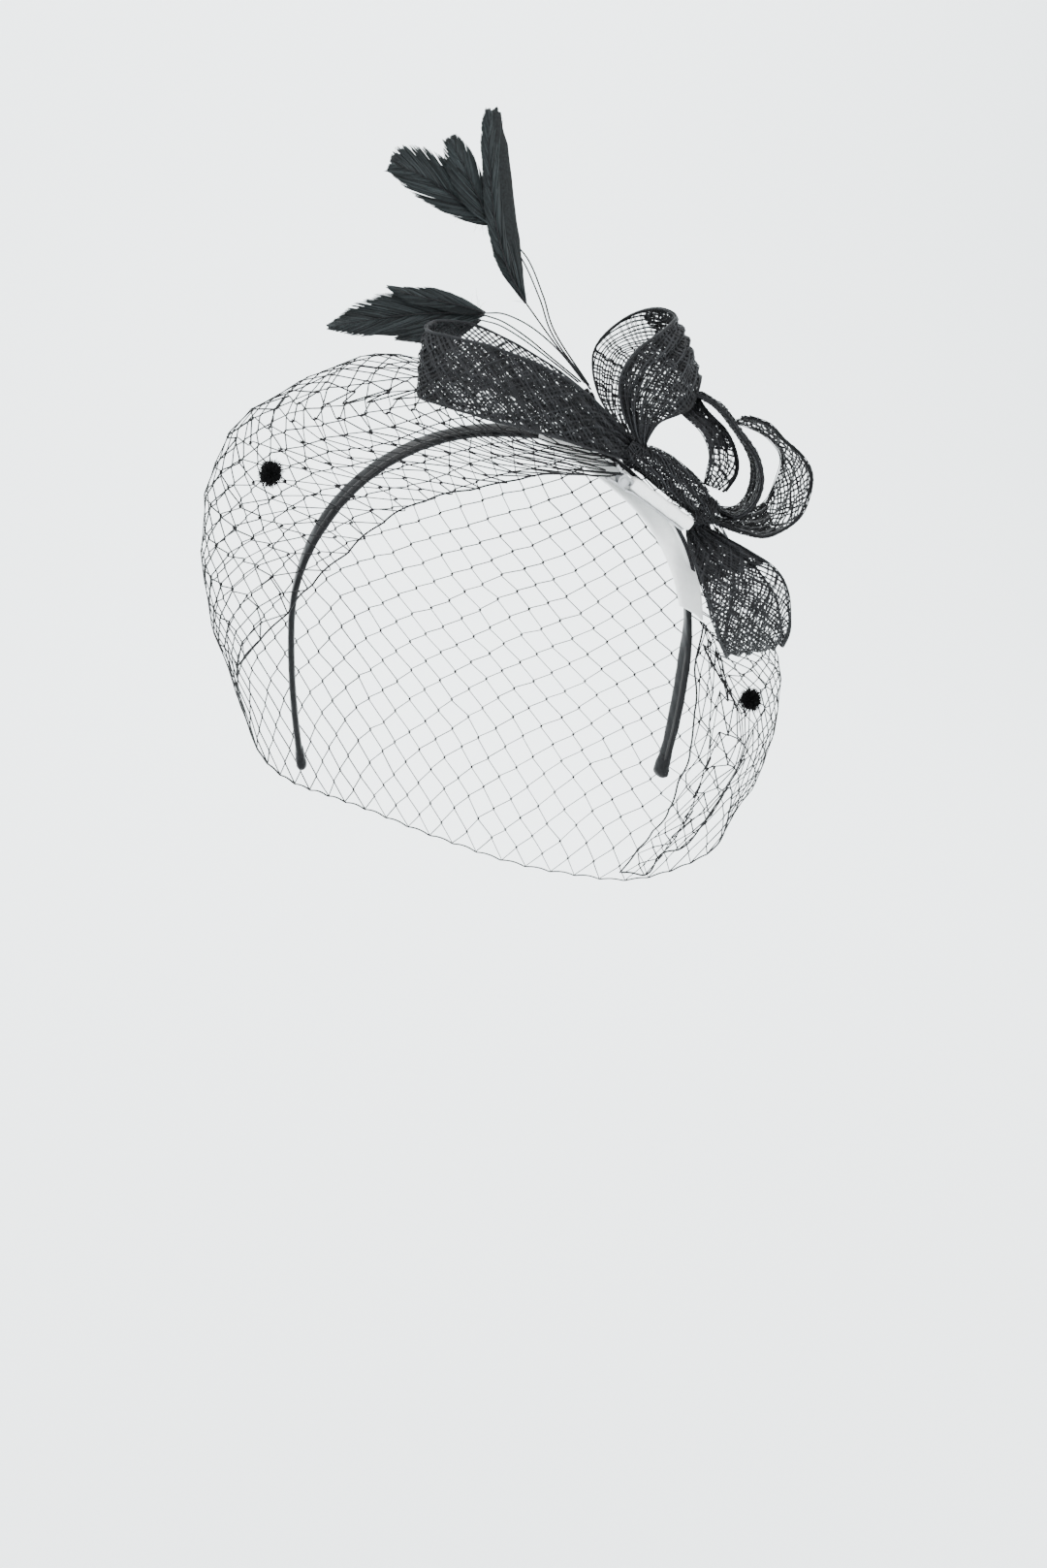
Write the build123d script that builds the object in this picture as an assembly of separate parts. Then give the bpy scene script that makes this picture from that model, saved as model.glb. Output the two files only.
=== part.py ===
"""Fascinator headpiece: a satin-covered headband that carries a looped straw-cloth bow, two sprays
of feathers, a face veil with two soft dots, and a sprung hair clip under the bow.

Frame, in millimetres: +Z is up, +X is the wearer's right, +Y is forward. The headband lies in the
XZ plane, and the origin is the centre of the arc that it makes over the head.
"""

import os
from math import atan2, cos, degrees, radians, sin, sqrt, tan

from build123d import *

# Headband: a half circle over the head, then a leg on each side that curves in to its tip.
BAND_RADIUS = 76.0
BAND_WIDTH = 7.0
BAND_THICKNESS = 2.6
CORE_WIDTH = 5.2
CORE_THICKNESS = 1.2
LEG_DROP = 55.0
LEG_INSET = 5.0
TIP_THICKNESS = 4.2
TIP_WIDTH = 8.2
TIP_LENGTH = 9.0
BAND_OUTER = BAND_RADIUS + BAND_THICKNESS / 2

# Base under the bow. Angles are measured from straight up towards the wearer's right.
STITCH_RADIUS = 0.25
STITCH_ANGLES = (22, 31, 40, 49, 58, 67)
LINING_THICKNESS = 0.7
BASE_THICKNESS = 1.5
BASE_ANGLE = 45.0
BASE_LENGTH = 74.0
BASE_WIDTH = 22.0
BASE_FORWARD = -1.5
STITCH_CLEARANCE = 0.05
LINING_INNER = BAND_OUTER + 2 * STITCH_RADIUS + STITCH_CLEARANCE
BASE_INNER = LINING_INNER + LINING_THICKNESS

# White comfort strip along the band's rear edge, which leans in over the back of the head.
STRIP_START, STRIP_END = -3.0, 80.0
STRIP_FRONT = (-4.9, 76.8)
STRIP_REAR = (-13.3, 70.5)
STRIP_THICKNESS = 0.9

# Hair clip: the hinge point and how far below the horizontal the jaws point.
CLIP_HINGE = (41.4, -19.0, 63.0)
CLIP_SLOPE = 32.75
JAW_REACH = 29.5
JAW_TAIL = 5.5
JAW_WIDTH = 7.0
JAW_THICKNESS = 0.8
JAW_SIDE_GAP = 0.35
EAR_RADIUS = 2.1
LUG_RADIUS = 1.6
PIN_RADIUS = 0.8
PIN_CLEARANCE = 0.05
PIN_SEAT = 0.02
PIN_HEAD_RADIUS = 1.3
PIN_HEAD_THICKNESS = 0.6
SPRING_WIRE_RADIUS = 0.28
SPRING_PITCH = 0.6
SPRING_CLEARANCE = 0.14
FELT_TOP, FELT_BOTTOM = 4.0, 0.1
FELT_START = 3.2
FELT_MARGIN = 1.3

# Bow: the knot, the gather below it and the rolled arm that joins them.
KNOT = (46.0, -17.0, 72.0)
GATHER = (74.0, -17.0, 53.0)
KNOT_RADIUS = 4.4
GATHER_RADIUS = 4.4
ARM_RADIUS = 6.2
ARM_LIFT = 1.2
WRAP_HALF_LENGTH = 3.2
BINDING_RADIUS = 0.35
RIBBON_THICKNESS = 0.8
WRAP_CLEARANCE = 0.3
WRAP_GAP = 0.15

# Each ribbon is a list of stations along it, and each station is its two edges.
LOOP_LEFT = [
    ((44, -16, 77), (46, -19, 69)), ((26, -20, 93), (28, -23, 74)), ((9, -23, 102), (10, -27, 79)),
    ((-10, -23, 108), (-9, -28, 83)), ((-24, -17, 110), (-23, -24, 86)),
    ((-31, -5, 111), (-33, -11, 88)), ((-26, 7, 113), (-25, 3, 93)), ((-12, 11, 112), (-12, 9, 91)),
    ((6, 9, 105), (6, 8, 87)), ((24, 4, 95), (24, 3, 81)), ((36, -5, 85), (37, -6, 76)),
    ((42, -14, 76), (43, -15, 72)),
]
LOOP_TOP = [
    ((46, -13, 74), (49, -13, 73)), ((42, -7, 79), (49, -7, 78)), ((34, 2, 90), (48, 2, 89)), ((32, 9, 105), (54, 9, 103)),
    ((42, 10, 117), (65, 10, 98)), ((53, 4, 122), (71, 6, 96)), ((58, -6, 120), (70, -4, 99)),
    ((51, -14, 115), (66, -13, 90)), ((41, -18, 107), (60, -18, 87)), ((37, -19, 97), (53, -19, 84)),
    ((41, -19, 84), (50, -19, 79)), ((47, -18, 76), (49, -18, 75)),
]
LOOP_INNER = [
    ((77, -13, 54), (76, -17, 55)), ((84, -2, 51), (80, -13, 52)), ((91, 3, 51), (86, -18, 51)),
    ((95, 4, 56), (92, -18, 56)), ((96, 4, 63), (94, -18, 64)), ((94, 4, 71), (91, -18, 73)),
    ((87, 4, 80), (84, -18, 81)), ((79, 3, 88), (76, -15, 90)), ((71, -2, 92), (66, -10, 94)),
    ((73, -6, 88), (61, -11, 89)), ((81, -8, 81), (69, -19, 82)), ((86, -8, 73), (73, -20, 74)),
    ((87, -8, 65), (73, -19, 67)), ((83, -9, 58), (73, -16, 62)),
]
LOOP_RIGHT = [
    ((77, -14, 50), (76, -18, 50)), ((84, -2, 47), (80, -17, 48)), ((95, 9, 48), (89, -19, 45)),
    ((103, 12, 50), (98, -19, 44)), ((107, 13, 56), (108, -19, 50)), ((109, 13, 65), (112, -19, 59)),
    ((108, 13, 71), (112, -19, 68)), ((104, 13, 75), (107, -19, 75)), ((99, 13, 78), (100, -18, 80)),
    ((93, 13, 80), (94, -17, 85)), ((88, 12, 81), (87, -15, 87)),
]
LOOP_LOWER = [
    ((72, -15, 49), (75, -16, 49)), ((69, -10, 44), (78, -12, 45)), ((72, -17, 32), (92, -19, 39)), ((77, -21, 19), (105, -21, 30)),
    ((83, -17, 6), (111, -18, 13)), ((90, -8, -4), (112, -9, 1)), ((91, 1, -4), (114, 0, 4)),
    ((87, 4, 8), (110, 3, 18)), ((79, 3, 26), (96, 2, 33)), ((74, -3, 40), (82, -4, 44)),
]

# Veil: rows fan out from the bow, and each row runs from the bow to the free edge. The first row
# is the free edge that crosses the back of the head.
VEIL_ROWS = [
    [(36, -25, 65), (6, -28, 64), (-30, -29, 54), (-60, -22, 30), (-82, -12, 0), (-96, 0, -17)],
    [(32, -9, 75.5), (2, -8, 81), (-42, -6, 87), (-94, -2, 73), (-109, 6, 16), (-94, 24, -42)],
    [(33, 13, 77), (6, 20, 86), (-44, 32, 97), (-87, 48, 61), (-97, 58, -2), (-80, 52, -78)],
    [(44, 15, 76), (24, 44, 88), (-8, 80, 70), (-40, 104, 24), (-46, 108, -34), (-40, 90, -108)],
    [(58, 15, 66), (54, 48, 70), (50, 92, 48), (42, 118, 4), (34, 120, -56), (22, 102, -136)],
    [(74, 12, 46), (88, 42, 44), (100, 74, 20), (107, 92, -20), (102, 94, -74), (80, 84, -138)],
    [(82, 9, 24), (100, 18, 18), (116, 32, 2), (127, 42, -30), (126, 50, -70), (112, 58, -112)],
    [(83, 4, -1), (91, 3, -12), (101, 0, -21), (108, 4, -34), (110, 12, -50), (107, 24, -70)],
]
VEIL_THICKNESS = 0.6
VEIL_STEPS = 3
DOT_RADIUS = 4.2
DOT_PLACES = {"veil_dot_left": (-84.5, -13.5, 58.5), "veil_dot_right": (105.5, 3, -25)}

# Feather sprays. Outlines and quills are (x, z) points; each feather has a depth of its own.
VANE_THICKNESS = 0.6
QUILL_RADIUS = 0.35
UPPER_ROOT = (31.0, 92.0)
UPPER_DEPTH = 5.0
SIDE_ROOT = (31.0, 92.0)
SIDE_DEPTH = 15.0
SOCKET_RADIUS = 1.7
UPPER_FOOT = (31.0, 3.0)
SIDE_FOOT = (36.0, 5.5)
FOOT_LIFT = 1.7
FEATHERS = {
    "tall_feather": dict(
        depth=2.0,
        vane=[(5, 121), (2, 139), (0, 151), (-3, 167), (-6, 181), (-11, 185), (-14, 176), (-13, 164),
              (-10, 146), (-4, 131)],
        quill=[(30, 93), (17, 107), (5, 121), (-4, 146), (-8, 166), (-10, 178)]),
    "middle_feather": dict(
        depth=4.5,
        vane=[(-9, 147), (-12, 158), (-14, 167), (-19, 175), (-26, 177), (-29, 173), (-25, 166),
              (-17, 156)],
        quill=[(30, 94), (16, 110), (10, 123), (0, 138), (-12, 152), (-21, 168)]),
    "wide_feather": dict(
        depth=7.0,
        vane=[(-10, 147), (-19, 157), (-27, 165), (-39, 169), (-46, 168), (-47, 163), (-41, 157),
              (-34, 152), (-22, 149)],
        quill=[(31, 94), (17, 111), (10, 124), (1, 137), (-11, 149), (-26, 158), (-38, 163)]),
    "side_upper_feather": dict(
        depth=14.0,
        vane=[(-8, 116), (-15, 119), (-24, 122), (-34, 123), (-44, 124), (-42, 119), (-32, 116),
              (-20, 114)],
        quill=[(30, 93), (20, 104), (9, 112), (-3, 117), (-18, 119), (-34, 120)]),
    "side_long_feather": dict(
        depth=16.5,
        vane=[(-8, 115), (-20, 119), (-34, 120), (-47, 119), (-57, 116), (-66, 108), (-60, 105),
              (-48, 103), (-36, 105), (-20, 109)],
        quill=[(29, 93), (18, 101), (8, 108), (-3, 114), (-20, 115), (-38, 113), (-56, 109)]),
    "side_lower_feather": dict(
        depth=19.0,
        vane=[(-9, 114), (-20, 113), (-31, 110), (-41, 105), (-34, 103), (-22, 104), (-14, 108)],
        quill=[(29, 92), (18, 100), (7, 107), (-3, 112), (-18, 109), (-32, 105)]),
}

PARTS = {}


def keep(name, *solids):
    """Store the solids of one node under its name."""
    PARTS[name] = solids[0] if len(solids) == 1 else Compound(children=list(solids))


def on_arc(angle, radius, forward=0.0):
    """The point at this angle from straight up, towards the wearer's right."""
    turn = radians(angle)
    return Vector(radius * sin(turn), forward, radius * cos(turn))


def band_path():
    """Centre line of the headband, from the left tip over the head to the right tip."""
    leg_radius = (LEG_DROP**2 + LEG_INSET**2) / (2 * LEG_INSET)
    leg_angle = degrees(atan2(LEG_DROP, leg_radius - LEG_INSET))
    plane = Plane.XZ
    with BuildLine(plane) as path:
        CenterArc((-BAND_RADIUS + leg_radius, 0), leg_radius, 180 + leg_angle, -leg_angle)
        CenterArc((0, 0), BAND_RADIUS, 180, -180)
        CenterArc((BAND_RADIUS - leg_radius, 0), leg_radius, 0, -leg_angle)
    return path.wire()


def swept_strip(path, width, thickness):
    """A flat strip with rounded edges that follows the band's path."""
    start = Plane(origin=path @ 0, x_dir=(0, 1, 0), z_dir=path % 0)
    section = start * RectangleRounded(width, thickness, thickness * 0.45)
    return sweep(section, path=path)


def headband():
    path = band_path()
    core = swept_strip(path, CORE_WIDTH, CORE_THICKNESS)
    cover = swept_strip(path, BAND_WIDTH, BAND_THICKNESS) - swept_strip(path, CORE_WIDTH, CORE_THICKNESS)
    keep("headband_core", core)
    keep("headband_cover", cover)
    for name, spot in (("tip_wrap_left", 0), ("tip_wrap_right", 1)):
        end = path @ spot
        heading = path % spot if spot else -(path % spot)
        plane = Plane(origin=end + heading * TIP_LENGTH / 4, x_dir=(0, 1, 0), z_dir=heading)
        body = plane * Box(TIP_WIDTH, TIP_THICKNESS, TIP_LENGTH)
        body = fillet(body.edges(), TIP_THICKNESS * 0.4)
        keep(name, body - swept_strip(path, BAND_WIDTH, BAND_THICKNESS))


def curved_plate(inner, thickness, length, width, forward):
    """An oval plate that follows the band's curve, centred on the base's angle."""
    section = Plane.YZ * Pos(forward, inner + thickness / 2) * Rectangle(width, thickness)
    ring = revolve(section, axis=Axis.Y, revolution_arc=100)
    ring = ring.rotate(Axis.Y, BASE_ANGLE - 50)
    centre = on_arc(BASE_ANGLE, inner - 30, forward)
    outward = on_arc(BASE_ANGLE, 1)
    cutter_plane = Plane(origin=centre, x_dir=(cos(radians(BASE_ANGLE)), 0, -sin(radians(BASE_ANGLE))),
                         z_dir=outward)
    oval = extrude(cutter_plane * Ellipse(length / 2, width / 2), amount=60)
    return ring & oval


def base():
    keep("base_lining", curved_plate(LINING_INNER, LINING_THICKNESS, BASE_LENGTH - 1, BASE_WIDTH - 1,
                                     BASE_FORWARD))
    keep("base_disc", curved_plate(BASE_INNER, BASE_THICKNESS, BASE_LENGTH, BASE_WIDTH, BASE_FORWARD))
    loops = []
    for angle in STITCH_ANGLES:
        tangent = Vector(cos(radians(angle)), 0, -sin(radians(angle)))
        plane = Plane(origin=on_arc(angle, BAND_RADIUS), x_dir=(0, 1, 0), z_dir=tangent)
        size = (BAND_WIDTH + 2 * STITCH_RADIUS, BAND_THICKNESS + 2 * STITCH_RADIUS)
        loop = (plane * RectangleRounded(*size, 0.9)).wire()
        section = Plane(origin=loop @ 0, z_dir=loop % 0) * Circle(STITCH_RADIUS)
        loops.append(sweep(section, path=loop).solid())
    keep("base_stitches", *loops)


def comfort_strip():
    """A tapered band of white felt that leans from the headband's rear edge in over the head."""
    (front_y, front_r), (rear_y, rear_r) = STRIP_FRONT, STRIP_REAR
    length = sqrt((front_y - rear_y) ** 2 + (front_r - rear_r) ** 2)
    off_y = (front_r - rear_r) / length * STRIP_THICKNESS
    off_r = (front_y - rear_y) / length * STRIP_THICKNESS
    outline = Polyline((front_y, front_r), (rear_y, rear_r), (rear_y + off_y, rear_r - off_r),
                       (front_y + off_y, front_r - off_r), close=True)
    section = Plane.YZ * make_face(outline)
    ring = revolve(section, axis=Axis.Y, revolution_arc=STRIP_END - STRIP_START)
    ring = ring.rotate(Axis.Y, STRIP_START)
    keep("comfort_strip", ring)


def clip_plane():
    """Clip frame: local X runs from the hinge to the jaw tips and local Z points off the head."""
    slope = radians(CLIP_SLOPE)
    return Plane(origin=CLIP_HINGE, x_dir=(cos(slope), 0, -sin(slope)), z_dir=(sin(slope), 0, cos(slope)))


def jaw_profile(points, width, plane):
    """A bent strip whose side outline is given in the clip's local X and Z."""
    side = Plane.XZ * make_face(Polyline(*points, close=True))
    return plane * extrude(side, amount=width / 2, both=True)


def across_bar(plane, radius, length, offset=0.0):
    """A round bar on the hinge axis, moved sideways by an offset."""
    return plane * (Pos(0, offset, 0) * Rot(90, 0, 0) * Cylinder(radius, length))


def fixed_jaw(plane):
    """The outer jaw: a cranked strip with two ears that hold the pin."""
    t = JAW_THICKNESS
    jaw = jaw_profile(
        [(-JAW_TAIL, 3.0), (-3, 2.0), (2, 1.4), (4, 0.3), (JAW_REACH, 0.3), (JAW_REACH, 0.3 + t),
         (4.4, 0.3 + t), (2.4, 1.4 + t), (-3, 2.0 + t), (-JAW_TAIL, 3.0 + t)], JAW_WIDTH, plane)
    for side in (-1, 1):
        offset = side * (JAW_WIDTH - t) / 2
        jaw += across_bar(plane, EAR_RADIUS, t, offset)
        jaw += plane * (Pos(0, offset, 1.2) * Box(3.4, t, 2.4))
    return jaw - across_bar(plane, PIN_RADIUS + PIN_SEAT, JAW_WIDTH + 2)


def moving_jaw(plane):
    """The inner jaw: a strip that ends in a hooked tip, with two lugs between the ears."""
    t = JAW_THICKNESS
    jaw = jaw_profile(
        [(-JAW_TAIL, -3.1), (-2.5, -2.6), (3.0, -2.5), (5.0, -1.1 - t), (JAW_REACH - 1, -1.1 - t),
         (JAW_REACH, -0.1), (JAW_REACH - 0.6, -0.1), (JAW_REACH - 1.4, -1.1), (5.0, -1.1),
         (3.4, -2.5 + t), (-2.5, -2.6 + t), (-JAW_TAIL, -3.1 + t)],
        JAW_WIDTH - 2 * JAW_SIDE_GAP + 0.1, plane)
    lug_offset = JAW_WIDTH / 2 - t - JAW_SIDE_GAP - t / 2
    for side in (-1, 1):
        jaw += across_bar(plane, LUG_RADIUS, t, side * lug_offset)
        jaw += plane * (Pos(0, side * lug_offset, -1.2) * Box(2.6, t, 2.0))
    ear_room = Box(5.0, 2 * (t + JAW_SIDE_GAP), 6.6)
    for side in (-1, 1):
        jaw -= plane * (Pos(0, side * JAW_WIDTH / 2, 0) * ear_room)
    return jaw - across_bar(plane, PIN_RADIUS + PIN_CLEARANCE, JAW_WIDTH)


def felt_sleeve(plane):
    """The felt pad wrapped round the outer jaw, open at its hinge end."""
    length = JAW_REACH + 0.8 - FELT_START
    block = Pos(FELT_START + length / 2, 0, (FELT_TOP + FELT_BOTTOM) / 2) * Box(
        length, JAW_WIDTH + 2 * FELT_MARGIN, FELT_TOP - FELT_BOTTOM)
    block = fillet(block.edges().filter_by(Axis.X), FELT_MARGIN)
    jaw_room = Pos(FELT_START + JAW_REACH / 2 - 2, 0, 0.3 + JAW_THICKNESS / 2) * Box(
        JAW_REACH, JAW_WIDTH + 0.1, JAW_THICKNESS + 0.04)
    crank_room = Pos(FELT_START, 0, 1.3) * Box(3.0, JAW_WIDTH + 0.1, 2.4)
    return plane * (block - jaw_room - crank_room)


def clip():
    plane = clip_plane()
    keep("clip_fixed_jaw", fixed_jaw(plane))
    keep("clip_moving_jaw", moving_jaw(plane))
    pin = across_bar(plane, PIN_RADIUS, JAW_WIDTH + PIN_HEAD_THICKNESS)
    for side in (-1, 1):
        offset = side * (JAW_WIDTH / 2 + JAW_SIDE_GAP)
        pin += across_bar(plane, PIN_HEAD_RADIUS, PIN_HEAD_THICKNESS, offset)
    keep("clip_pin", pin)
    coil_radius = PIN_RADIUS + SPRING_WIRE_RADIUS + SPRING_CLEARANCE
    coils = []
    for turn in range(-2, 3):
        ring = Pos(0, turn * SPRING_PITCH, 0) * Rot(90, 0, 0) * Torus(coil_radius, SPRING_WIRE_RADIUS)
        coils.append((plane * ring).solid())
    keep("clip_spring", *coils)
    keep("clip_felt_sleeve", felt_sleeve(plane))


def along(start, end, distance):
    """The point this far from start on the way to end."""
    step = Vector(*end) - Vector(*start)
    return Vector(*start) + step.normalized() * distance


def rod(start, end, radius):
    """A round bar between two points."""
    step = Vector(*end) - Vector(*start)
    plane = Plane(origin=Vector(*start), z_dir=step)
    return plane * Cylinder(radius, step.length, align=(Align.CENTER, Align.CENTER, Align.MIN))


def arm_ends():
    """The arm's two end points, lifted a little off the clip."""
    heading = (Vector(*GATHER) - Vector(*KNOT)).normalized()
    lift = Vector(-heading.Z, 0, heading.X) * ARM_LIFT
    inset = WRAP_HALF_LENGTH + WRAP_GAP
    return Vector(*KNOT) + heading * inset + lift, Vector(*GATHER) - heading * inset + lift


def bow_wraps():
    knot_start = along(KNOT, GATHER, -WRAP_HALF_LENGTH)
    knot_end = along(KNOT, GATHER, WRAP_HALF_LENGTH)
    gather_start = along(GATHER, KNOT, WRAP_HALF_LENGTH)
    gather_end = along(GATHER, KNOT, -WRAP_HALF_LENGTH)
    keep("knot_wrap", rod(knot_start, knot_end, KNOT_RADIUS))
    keep("gather_wrap", rod(gather_start, gather_end, GATHER_RADIUS))
    keep("arm_roll", rod(*arm_ends(), ARM_RADIUS))
    heading = (Vector(*GATHER) - Vector(*KNOT)).normalized()
    bindings = (("knot_binding", KNOT, KNOT_RADIUS), ("gather_binding", GATHER, GATHER_RADIUS))
    for name, centre, radius in bindings:
        turns = []
        for index in range(-2, 3):
            spot = Vector(*centre) + heading * (index * BINDING_RADIUS * 2.2)
            plane = Plane(origin=spot, z_dir=heading)
            turns.append((plane * Torus(radius + BINDING_RADIUS + 0.02, BINDING_RADIUS)).solid())
        keep(name, *turns)


def wrap_space():
    """The room that the knot, arm and gather need, which every ribbon stops short of."""
    start = along(KNOT, GATHER, -WRAP_HALF_LENGTH - WRAP_CLEARANCE)
    end = along(GATHER, KNOT, -WRAP_HALF_LENGTH - WRAP_CLEARANCE)
    room = rod(start, end, KNOT_RADIUS + 2 * BINDING_RADIUS + WRAP_CLEARANCE)
    return room + rod(*arm_ends(), ARM_RADIUS + WRAP_CLEARANCE)


def ribbon(stations):
    """A thin ribbon whose two edges are smooth curves through its stations."""
    near_edge = Spline(*[near for near, far in stations])
    far_edge = Spline(*[far for near, far in stations])
    face = Face.make_surface_from_curves(near_edge, far_edge)
    return thicken(face, amount=RIBBON_THICKNESS / 2, both=True)


def bow_loops():
    room = wrap_space()
    ribbons = {"loop_left": LOOP_LEFT, "loop_top": LOOP_TOP, "loop_inner": LOOP_INNER,
               "loop_right": LOOP_RIGHT, "loop_lower": LOOP_LOWER}
    for name, stations in ribbons.items():
        cut = ribbon(stations) - room
        keep(name, sorted(cut.solids(), key=lambda solid: solid.volume)[-1])


def bend_radii(places):
    """The largest comfortable radius for each corner of a polyline."""
    radii = []
    for before, corner, after in zip(places, places[1:], places[2:]):
        run_in, run_out = corner - before, after - corner
        half_turn = radians(run_in.get_angle(run_out)) / 2
        radii.append(0.45 * min(run_in.length, run_out.length) / tan(half_turn))
    return radii


def quill(points, depth):
    """A thin round quill along straight runs and arcs in a plane of constant depth."""
    places = [Vector(x, depth, z) for x, z in points]
    path = FilletPolyline(*places, radius=bend_radii(places))
    section = Plane(origin=path @ 0, z_dir=path % 0) * Circle(QUILL_RADIUS)
    return sweep(section, path=path)


def feathers():
    for name, shape in FEATHERS.items():
        outline = Spline(*[(x, z) for x, z in shape["vane"]], periodic=True)
        face = Plane.XZ.offset(-shape["depth"]) * make_face(outline)
        keep(f"{name}_vane", extrude(face, amount=VANE_THICKNESS / 2, both=True))
        quill_depth = shape["depth"] - VANE_THICKNESS / 2 - QUILL_RADIUS - 0.02
        keep(f"{name}_quill", quill(shape["quill"], quill_depth))


def spray_sockets():
    """Thread-wrapped stalks that stand on the base and hold the quills' ends."""
    for name, root, depth, (angle, forward) in (
            ("upper_spray_stalk", UPPER_ROOT, UPPER_DEPTH, UPPER_FOOT),
            ("side_spray_stalk", SIDE_ROOT, SIDE_DEPTH, SIDE_FOOT)):
        foot = on_arc(angle, BASE_INNER + BASE_THICKNESS + FOOT_LIFT, forward)
        top = Vector(root[0], depth, root[1] - 1.6)
        keep(name, rod(foot, top, SOCKET_RADIUS))


def eased(points, steps):
    """Points on a smooth curve through the given ones, with this many steps between neighbours."""
    ends = [points[0] * 2 - points[1], *points, points[-1] * 2 - points[-2]]
    curve = []
    for before, start, end, after in zip(ends, ends[1:], ends[2:], ends[3:]):
        for step in range(steps):
            t = step / steps
            bend = (end - before) * t + (before * 2 - start * 5 + end * 4 - after) * t**2
            bend += (start * 3 - before - end * 3 + after) * t**3
            curve.append(start + bend * 0.5)
    return curve + [points[-1]]


def veil():
    rows = [eased([Vector(*point) for point in row], VEIL_STEPS) for row in VEIL_ROWS]
    columns = [eased(list(column), VEIL_STEPS) for column in zip(*rows)]
    face = Face.make_surface_from_array_of_points(columns, tol=0.2, min_deg=3, max_deg=4)
    keep("veil_net", thicken(face, amount=VEIL_THICKNESS / 2, both=True))
    for name, centre in DOT_PLACES.items():
        keep(name, Pos(*centre) * Sphere(DOT_RADIUS))


headband()
base()
comfort_strip()
clip()
bow_wraps()
bow_loops()
feathers()
spray_sockets()
veil()

os.makedirs("parts", exist_ok=True)
for name, shape in PARTS.items():
    export_step(shape, f"parts/{name}.step")
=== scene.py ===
"""The looks of the fascinator headpiece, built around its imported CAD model.

Shapes below are given in millimetres in the CAD frame (+X the wearer's right, +Y forward, +Z up)
and turned into metres when a mesh is made.
"""

import math

import bpy
import numpy as np
from mathutils import Matrix, Vector
from numpy.linalg import norm
from numpy.random import default_rng


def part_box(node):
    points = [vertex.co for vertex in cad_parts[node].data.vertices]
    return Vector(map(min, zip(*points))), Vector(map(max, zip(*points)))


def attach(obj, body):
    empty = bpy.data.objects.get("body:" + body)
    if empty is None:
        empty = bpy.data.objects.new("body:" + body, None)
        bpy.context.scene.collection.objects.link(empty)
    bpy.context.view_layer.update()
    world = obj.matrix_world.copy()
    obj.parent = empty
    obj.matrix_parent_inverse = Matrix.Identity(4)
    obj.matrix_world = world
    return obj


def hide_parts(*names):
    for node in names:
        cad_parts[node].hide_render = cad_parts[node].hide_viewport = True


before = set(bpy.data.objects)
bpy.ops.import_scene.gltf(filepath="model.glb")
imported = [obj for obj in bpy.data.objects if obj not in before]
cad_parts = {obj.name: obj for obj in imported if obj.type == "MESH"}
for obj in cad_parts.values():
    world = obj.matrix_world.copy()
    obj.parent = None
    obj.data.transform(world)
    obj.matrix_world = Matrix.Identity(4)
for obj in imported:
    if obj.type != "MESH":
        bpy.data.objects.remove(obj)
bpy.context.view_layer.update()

MM = 0.001
TURN = 2 * np.pi
UP = np.array([0.0, 0.0, 1.0])
FORWARD = np.array([0.0, 1.0, 0.0])

# ---- shapes, most of them shared with the CAD model ----

BAND_RADIUS = 76.0
BAND_WIDTH = 7.0
BAND_THICKNESS = 2.6
LEG_DROP = 55.0
LEG_INSET = 5.0

KNOT = np.array([46.0, -17.0, 72.0])
GATHER = np.array([74.0, -17.0, 53.0])
CLIP_HINGE = np.array([41.4, -19.0, 63.0])
CLIP_SLOPE = math.radians(32.75)
CLIP_REACH = 30.3
STALK_FOOT_RADIUS = 81.75

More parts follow.
